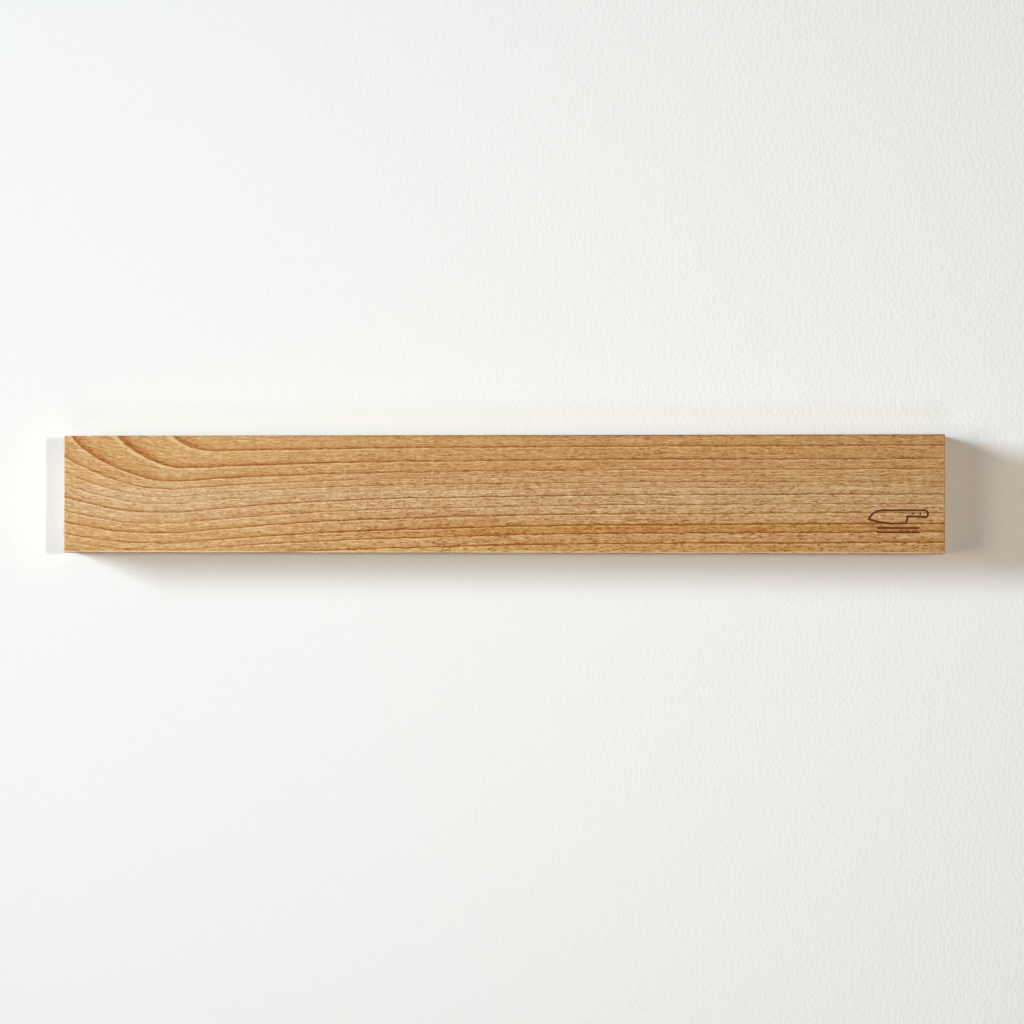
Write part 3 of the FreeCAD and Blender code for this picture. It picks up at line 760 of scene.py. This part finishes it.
def carve(piece, name, bm, materials=()):
    """Cuts a closed mesh out of a piece. The cut faces take the cutter's material."""
    mesh = bpy.data.meshes.new(name)
    bmesh.ops.recalc_face_normals(bm, faces=bm.faces)
    bm.to_mesh(mesh)
    bm.free()
    for material in materials:
        mesh.materials.append(material)
    cutter = bpy.data.objects.new(name, mesh)
    bpy.context.scene.collection.objects.link(cutter)
    modifier = piece.modifiers.new(name, "BOOLEAN")
    modifier.operation = "DIFFERENCE"
    modifier.solver = "EXACT"
    modifier.material_mode = "TRANSFER"
    modifier.object = cutter
    bpy.context.view_layer.update()
    settled = bpy.data.meshes.new_from_object(piece.evaluated_get(bpy.context.evaluated_depsgraph_get()))
    piece.modifiers.clear()
    piece.data = settled
    bpy.data.objects.remove(cutter)


def smooth_round_edges(piece, sharpest=30):
    """Smooth shading across the rounded edges, sharp where faces meet at more than sharpest degrees."""
    bm = bmesh.new()
    bm.from_mesh(piece.data)
    bmesh.ops.remove_doubles(bm, verts=bm.verts, dist=WELD_DISTANCE)
    for face in bm.faces:
        face.smooth = True
    for edge in bm.edges:
        edge.smooth = len(edge.link_faces) == 2 and edge.calc_face_angle() < radians(sharpest)
    bm.to_mesh(piece.data)
    bm.free()
    weighted = piece.modifiers.new("flat_faces", "WEIGHTED_NORMAL")
    weighted.keep_sharp = True


# ------------------------------------------------------------------ the mark


def arc_through(start, via, end, steps):
    """Points on the circle through three points, from start to end, without the last one."""
    a, b = via - start, end - start
    cross = 2 * (a.x * b.y - a.y * b.x)
    centre = start + Vector(
        (
            (b.y * a.length_squared - a.y * b.length_squared) / cross,
            (a.x * b.length_squared - b.x * a.length_squared) / cross,
        )
    )
    spoke = start - centre
    first = atan2(spoke.y, spoke.x)
    turns = []
    for point in (via, end):
        other = point - centre
        turns.append((atan2(other.y, other.x) - first) % (2 * pi))
    sweep = turns[1] if turns[0] < turns[1] else turns[1] - 2 * pi
    radius = spoke.length
    return [
        centre + radius * Vector((cos(first + sweep * n / steps), sin(first + sweep * n / steps)))
        for n in range(steps)
    ]


def knife_outline():
    """A plain kitchen knife, pointing left, as a closed outline about the mark's middle."""

    def at(share_x, share_z):
        return Vector((share_x, share_z)) * MARK_LENGTH

    points = [at(0.16, 0.17)]
    points += arc_through(at(-0.26, 0.17), at(-0.41, 0.125), at(-0.5, 0.02), 10)
    points += arc_through(at(-0.5, 0.02), at(-0.22, -0.043), at(0.13, -0.05), 16)
    points += [at(0.13, -0.05), at(0.16, 0.07)]
    points += arc_through(at(0.47, 0.055), at(0.5, 0.11), at(0.46, 0.17), 10)
    points += [at(0.46, 0.17)]
    return points


def stroke(bm, outline, middle, near, far, draw):
    """A band along a closed outline, with slightly uneven edges, extruded between two depths."""
    count = len(outline)
    rings = []
    for i, point in enumerate(outline):
        before = (point - outline[i - 1]).normalized()
        after = (outline[(i + 1) % count] - point).normalized()
        normal = Vector((-before.y - after.y, before.x + after.x)).normalized()
        mitre = 1 / max(1 / LONGEST_MITRE, normal.dot(Vector((-after.y, after.x))))
        ring = []
        for side, depth in ((1, near), (1, far), (-1, far), (-1, near)):
            reach = MARK_LINE / 2 * mitre * (1 + draw.uniform(-UNEVEN_LINE, UNEVEN_LINE))
            flat = point + normal * side * reach
            ring.append(bm.verts.new((middle.x + flat.x, depth, middle.z + flat.y)))
        rings.append(ring)
    for i in range(count):
        for k in range(4):
            here, there = rings[i], rings[(i + 1) % count]
            bm.faces.new((here[k], here[(k + 1) % 4], there[(k + 1) % 4], there[k]))


def mark_cutter():
    """The burnt-in mark: the knife's outline with two rivets, over two plain rules."""
    draw = random.Random(5)
    bm = bmesh.new()
    near = LOW.y - MARK_CLEARANCE
    far = LOW.y + MARK_CUT
    middle = Vector((HIGH.x - MARK_FROM_RIGHT, 0, LOW.z + MARK_FROM_BOTTOM))
    stroke(bm, knife_outline(), middle, near, far, draw)
    for share in RIVETS_RIGHT:
        rivet = middle + Vector((share, 0, RIVETS_UP)) * MARK_LENGTH
        prism(bm, rounded_outline(MARK_LINE, MARK_LINE, MARK_LINE / 2, 3), rivet, near, far)
    for share in RULES_UP:
        rule = middle + Vector((0, 0, share)) * MARK_LENGTH
        outline = rounded_outline(RULE_LENGTH * MARK_LENGTH, MARK_LINE, RULE_CORNER, 2)
        prism(bm, outline, rule, near, far)
    return bm


# ----------------------------------------------------------------- the board


def row_box(side, row):
    """The box round one row of magnets."""
    boxes = [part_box(node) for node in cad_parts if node.startswith(f"magnet_{side}_{row}_")]
    low = Vector([min(box[0][axis] for box in boxes) for axis in range(3)])
    high = Vector([max(box[1][axis] for box in boxes) for axis in range(3)])
    return low, high


def make_board(beech, char):
    """The board with everything that is milled, drilled and burnt into it."""
    bm = bmesh.new()
    rounded_block(bm, LOW, HIGH, sanded_radius)
    board = new_piece("board", bm, (beech, char))
    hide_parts("beech_board")

    shallow = bmesh.new()
    milled(shallow, *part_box("closing_strip"), STRIP_PLAY, STRIP_PLAY, STRIP_CORNER)
    for side in SIDES:
        low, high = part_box(f"keyhole_plate_{side}")
        milled(shallow, low, high, PLATE_PLAY, PLATE_PLAY, (high.x - low.x) / 2 + PLATE_PLAY)
    carve(board, "shallow_recesses", shallow, (beech,))

    deeper = bmesh.new()
    for side in SIDES:
        low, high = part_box(f"steel_yoke_{side}")
        milled(deeper, low, high, YOKE_PLAY, YOKE_PLAY, CUTTER_RADIUS)
        low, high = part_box(f"keyhole_plate_{side}")
        middle = (low + high) / 2 + Vector((0, 0, HEAD_POCKET_RISE))
        outline = rounded_outline(HEAD_POCKET_WIDTH, HEAD_POCKET_HEIGHT, HEAD_POCKET_WIDTH / 2)
        prism(deeper, outline, middle, BEHIND_BOARD, low.y - HEAD_POCKET_DEPTH)
    carve(board, "deeper_recesses", deeper, (beech,))

    deepest = bmesh.new()
    for side in SIDES:
        for row in ROWS:
            milled(deepest, *row_box(side, row), GROOVE_END_PLAY, GROOVE_SIDE_PLAY, CUTTER_RADIUS)
    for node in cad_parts:
        if "_screw_" in node:
            low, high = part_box(node)
            outline = rounded_outline(2 * PILOT_RADIUS, 2 * PILOT_RADIUS, PILOT_RADIUS, 4)
            prism(deepest, outline, (low + high) / 2, BEHIND_BOARD, low.y - PILOT_PAST_POINT)
    carve(board, "grooves_and_pilot_holes", deepest, (beech,))
    carve(board, "engraved_mark", mark_cutter(), (char,))
    smooth_round_edges(board)
    return board


def dress(material, *starts):
    """Gives a material to every CAD node whose name starts that way."""
    for node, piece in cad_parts.items():
        if node.startswith(starts):
            for piece_slot in piece.material_slots:
                piece_slot.material = material


# --------------------------------------------------------------------- stage

# The stage's places and sizes are in metres
PALE = (0.93, 0.92, 0.90, 1.0)
SURROUND_STRENGTH = 0.85
BACKDROP_GLOW = 0.8
WALL_GAP = 0.2 * MM
WALL_REACH = 1.1
WALL_RISE = 1.0
FLOOR_LEVEL = -2.4
FLOOR_REACH = 15
CARD_PLACE = 3.5
CARD_REACH = 5

STIPPLE_SIZE = (1.8, 1.8, 2.2)  # in mm
STIPPLE_DEPTH = 0.08 * MM
STIPPLE_GROWS = (-400, 500)  # between these places, in mm to the right of the rack's middle
STIPPLE_LEFT = 0.2
STIPPLE_RIGHT = 1.5

LENS = 131.7  # in mm
CAMERA_PLACE = (6.9 * MM, -9.1 * MM, 1.9)  # from the middle of the front face, along the camera's own axes
CAMERA_TURN = 6.39  # in degrees, round the rack to the right
CAMERA_TILT = 90.91  # up from straight down
CAMERA_ROLL = 0.126


def area_light(name, place, size, power, colour, spread=40):
    """A soft box aimed at the rack, with a grid in front that keeps its light off the floor."""
    light = bpy.data.lights.new(name, "AREA")
    light.shape = "RECTANGLE"
    light.size, light.size_y = size
    light.spread = radians(spread)
    light.energy = power
    light.color = colour
    lamp = bpy.data.objects.new(name, light)
    lamp.location = place
    lamp.rotation_euler = (-Vector(place)).to_track_quat("-Z", "Y").to_euler()
    lamp.visible_camera = False
    bpy.context.scene.collection.objects.link(lamp)


def upright(y, reach, rise):
    """The corners of a rectangle behind the rack."""
    return [(-reach, y, -rise), (reach, y, -rise), (reach, y, rise), (-reach, y, rise)]


def make_stage():
    """A white wall, seen only from the front, a pale floor far below, and a card for the metal to reflect."""
    floor = [(x * FLOOR_REACH, y * FLOOR_REACH, FLOOR_LEVEL) for x, y in ((-1, -1), (1, -1), (1, 1), (-1, 1))]
    for name, corners in (
        ("wall", upright(WALL_GAP, WALL_REACH, WALL_RISE)),
        ("floor", floor),
        ("card", upright(CARD_PLACE, CARD_REACH, CARD_REACH)),
    ):
        mesh = bpy.data.meshes.new(name)
        mesh.from_pydata(corners, [], [(0, 1, 2, 3)])
        backdrop = bpy.data.objects.new(name, mesh)
        bpy.context.scene.collection.objects.link(backdrop)
        mesh.materials.append(plaster(name, one_sided=name == "wall"))
        backdrop.visible_shadow = False
        backdrop.visible_diffuse = False
        backdrop.visible_glossy = name == "card"
        backdrop.visible_camera = name != "card"


def plaster(name, one_sided):
    """White paint with a roller's faint stipple. One-sided it is clear from behind; otherwise it glows."""
    material, tree, shader = new_material(f"{name}_paint")
    place = place_in_mm(tree)
    stipple = clouds(tree, in_steps(tree, place, STIPPLE_SIZE), 2)
    colour = mix(tree, stipple.above(-1.5, 1.5), srgb(236, 236, 234), srgb(240, 240, 238))
    tree.links.new(colour.socket, shader.inputs["Base Color"])
    shader.inputs["Roughness"].default_value = 0.9
    shader.inputs["Specular IOR Level"].default_value = 0.1
    strength = between(place[0].above(*STIPPLE_GROWS), STIPPLE_LEFT, STIPPLE_RIGHT)
    emboss(tree, shader, stipple * strength, STIPPLE_DEPTH)
    if one_sided:
        side = tree.nodes.new("ShaderNodeNewGeometry")
        clear = tree.nodes.new("ShaderNodeBsdfTransparent")
        choose = tree.nodes.new("ShaderNodeMixShader")
        tree.links.new(side.outputs["Backfacing"], choose.inputs[0])
        tree.links.new(shader.outputs[0], choose.inputs[1])
        tree.links.new(clear.outputs[0], choose.inputs[2])
        tree.links.new(choose.outputs[0], tree.nodes["Material Output"].inputs[0])
    else:
        shader.inputs["Emission Color"].default_value = PALE
        shader.inputs["Emission Strength"].default_value = BACKDROP_GLOW
    return material


def make_world():
    """A pale surround that only the camera sees."""
    world = bpy.data.worlds.new("studio")
    bpy.context.scene.world = world
    world.use_nodes = True
    background = world.node_tree.nodes["Background"]
    background.inputs["Color"].default_value = PALE
    background.inputs["Strength"].default_value = SURROUND_STRENGTH
    world.cycles_visibility.diffuse = False
    world.cycles_visibility.glossy = False


def make_lights():
    """Each with its place and size in metres, its power in watts and its spread in degrees."""
    area_light("key", (-3.6, -1.9, 0.95), (0.55, 1.4), power=25.4, colour=(0.715, 0.865, 1.0), spread=60)
    area_light("front", (0.1, -2.6, 0), (1, 0.6), power=0.213, colour=(1.0, 0.873, 0.3))
    area_light("right", (3.06, -5.4, 0.09), (0.27, 0.54), power=5.9, colour=(1.0, 0.893, 0.749))
    area_light("low", (0, -1.8, -1.2), (1, 0.5), power=0.288, colour=(0.83, 0.75, 1.0))
    area_light("left", (-2, -2.4, -0.2), (1.2, 0.8), power=3.222, colour=(1.0, 0.816, 0.661), spread=60)
    area_light("behind_left", (-2.2, 2.6, 0.8), (2.4, 2.4), power=11, colour=(1.0, 0.9, 0.78))
    area_light("behind_right", (2.6, 2.2, 0.5), (2.4, 2.4), power=8, colour=(1.0, 0.92, 0.82))


def make_camera():
    """A little below the rack and to its right, almost square on to it, with a long lens."""
    camera = bpy.data.cameras.new("camera")
    camera.lens = LENS
    camera.clip_end = 100
    view = bpy.data.objects.new("camera", camera)
    turn = Matrix.Rotation(radians(CAMERA_TURN), 3, "Z") @ Matrix.Rotation(radians(CAMERA_TILT), 3, "X")
    turn = turn @ Matrix.Rotation(radians(CAMERA_ROLL), 3, "Z")
    view.location = turn @ Vector(CAMERA_PLACE) + Vector((0, LOW.y, 0))
    view.rotation_euler = turn.to_euler()
    bpy.context.scene.collection.objects.link(view)
    bpy.context.scene.camera = view


# ----------------------------------------------------------------- the scene

board_beech = wood("board_beech", dipping_figure, seed=0, finish=OILED)
strip_beech = wood("strip_beech", even_figure, seed=1, finish=UNOILED)
make_board(board_beech, burnt_wood())
dress(strip_beech, "closing_strip")
dress(plated("nickel_plate", srgb(222, 218, 208), srgb(196, 190, 178), 0.20, 0.04), "magnet_")
dress(rolled_steel(), "steel_yoke_")
dress(plated("zinc_plate", srgb(206, 212, 220), srgb(172, 180, 190), 0.30, 0.08), "keyhole_plate_")
screw_zinc = plated("screw_zinc", srgb(212, 214, 216), srgb(180, 182, 186), 0.26, 0.06)
dress(screw_zinc, "plate_screw_", "strip_screw_")

make_stage()
make_world()
make_lights()
make_camera()
bpy.context.scene.view_settings.view_transform = "Standard"
